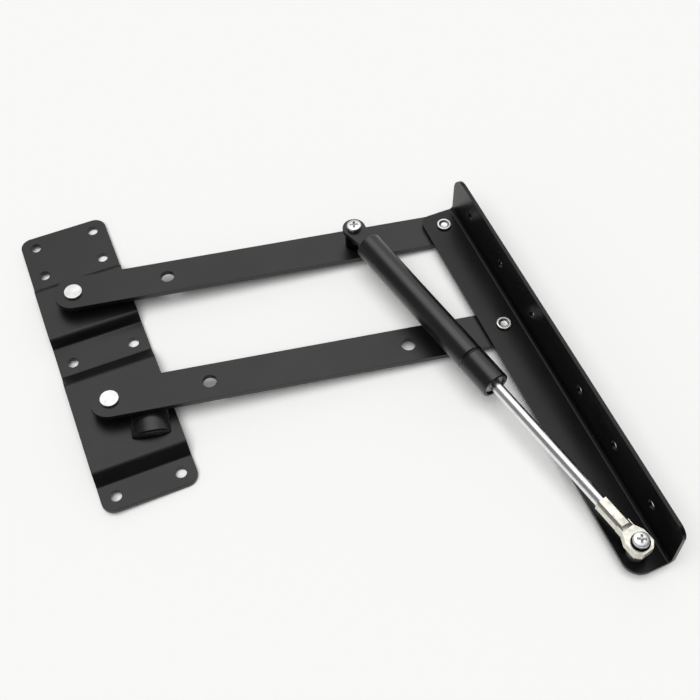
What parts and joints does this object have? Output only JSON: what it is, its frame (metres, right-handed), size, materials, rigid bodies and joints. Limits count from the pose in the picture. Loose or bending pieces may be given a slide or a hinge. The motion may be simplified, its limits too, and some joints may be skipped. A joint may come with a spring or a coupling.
{
  "type": "lift top table mechanism",
  "caption": "One side of a lift top table mechanism: folded base plate, two parallel links, angled top bracket and a gas spring that holds it raised.",
  "frame": {"origin": "centre of the base plate's mounting face, which is the centre of its corner screws and of its middle pair of screws", "axes": "+X from the base plate towards the top bracket, +Y along the base plate towards its end with four screws, +Z out of the mounting face, away from the panel"},
  "size_m": [0.2386, 0.3244, 0.0465],
  "materials": {
    "black_coat": "satin black powder coat on steel",
    "black_tube": "semi-gloss black paint",
    "bright_rivet": "bright zinc plate",
    "screw_zinc": "polished zinc plate",
    "chrome_rod": "hard chrome, polished",
    "nickel_eye": "pale nickel plate",
    "wear_plastic": "black acetal",
    "black_washer": "blackened steel",
    "seal_rubber": "nitrile rubber",
    "pad_rubber": "moulded black rubber",
    "cast_piston": "sintered metal, plain",
    "mouth_metal": "plain grey ring"
  },
  "bodies": {
    "base": {"base_plate": "black_coat", "rest_pad": "pad_rubber", "upper_base_rivet": "bright_rivet", "upper_base_spacer": "bright_rivet", "upper_base_washer": "wear_plastic", "lower_base_rivet": "bright_rivet", "lower_base_spacer": "bright_rivet", "lower_base_washer": "wear_plastic"},
    "upper_link": {"upper_link": "black_coat", "spring_link_nut": "bright_rivet"},
    "lower_link": {"lower_link": "black_coat"},
    "top_bracket": {"top_bracket": "black_coat", "upper_bracket_rivet": "bright_rivet", "upper_bracket_washer": "wear_plastic", "upper_tail_washer": "bright_rivet", "lower_bracket_rivet": "bright_rivet", "lower_bracket_washer": "wear_plastic", "lower_tail_washer": "bright_rivet", "rod_end_spacer": "bright_rivet", "rod_end_washer": "black_washer", "rod_end_screw": "screw_zinc", "spring_bracket_nut": "bright_rivet"},
    "spring_rod": {"piston_rod": "chrome_rod", "rod_end_eye": "nickel_eye", "piston": "cast_piston", "piston_seal": "seal_rubber", "piston_nut": "bright_rivet"},
    "spring_tube": {"cylinder_tube": "black_tube", "tube_end_plug": "bright_rivet", "tube_end_tab": "black_coat", "rod_seal": "seal_rubber", "seal_washer": "bright_rivet", "guide_bush": "wear_plastic", "mouth_ring": "mouth_metal", "tube_end_spacer": "bright_rivet", "tube_end_screw": "screw_zinc"}
  },
  "joints": [
    {"name": "lift", "type": "hinge", "parent": "base", "child": "upper_link", "pos_m": [-0.0047, 0.0353, 0.013], "axis": [0, 0, 1], "range_deg": [0, 82], "stiffness_Nm_per_rad": 1.5, "springref_deg": -143.24},
    {"name": "lower_link_swing", "type": "hinge", "parent": "base", "child": "lower_link", "pos_m": [-0.0047, -0.0397, 0.013], "axis": [0, 0, 1], "range_deg": [0, 82]},
    {"name": "bracket_level", "type": "hinge", "parent": "upper_link", "child": "top_bracket", "pos_m": [0.20181, -0.00283, 0.016], "axis": [0, 0, 1], "range_deg": [-82, 0]},
    {"name": "rod_tilt", "type": "hinge", "parent": "top_bracket", "child": "spring_rod", "pos_m": [0.19851, -0.21903, 0.0287], "axis": [0, 0, 1], "range_deg": [-7.46, 0]},
    {"name": "tube_slide", "type": "slide", "parent": "spring_rod", "child": "spring_tube", "axis": [0.2074, -0.9783, 0], "range_m": [0, 0.06326]}
  ],
  "couplings": [
    {"joint": "lower_link_swing", "follows": "lift", "ratio": 1},
    {"joint": "bracket_level", "follows": "lift", "ratio": -1},
    {"joint": "rod_tilt", "follows": "lift", "ratio": -0.090958},
    {"joint": "tube_slide", "follows": "lift", "m_per_rad": 0.044202}
  ]
}
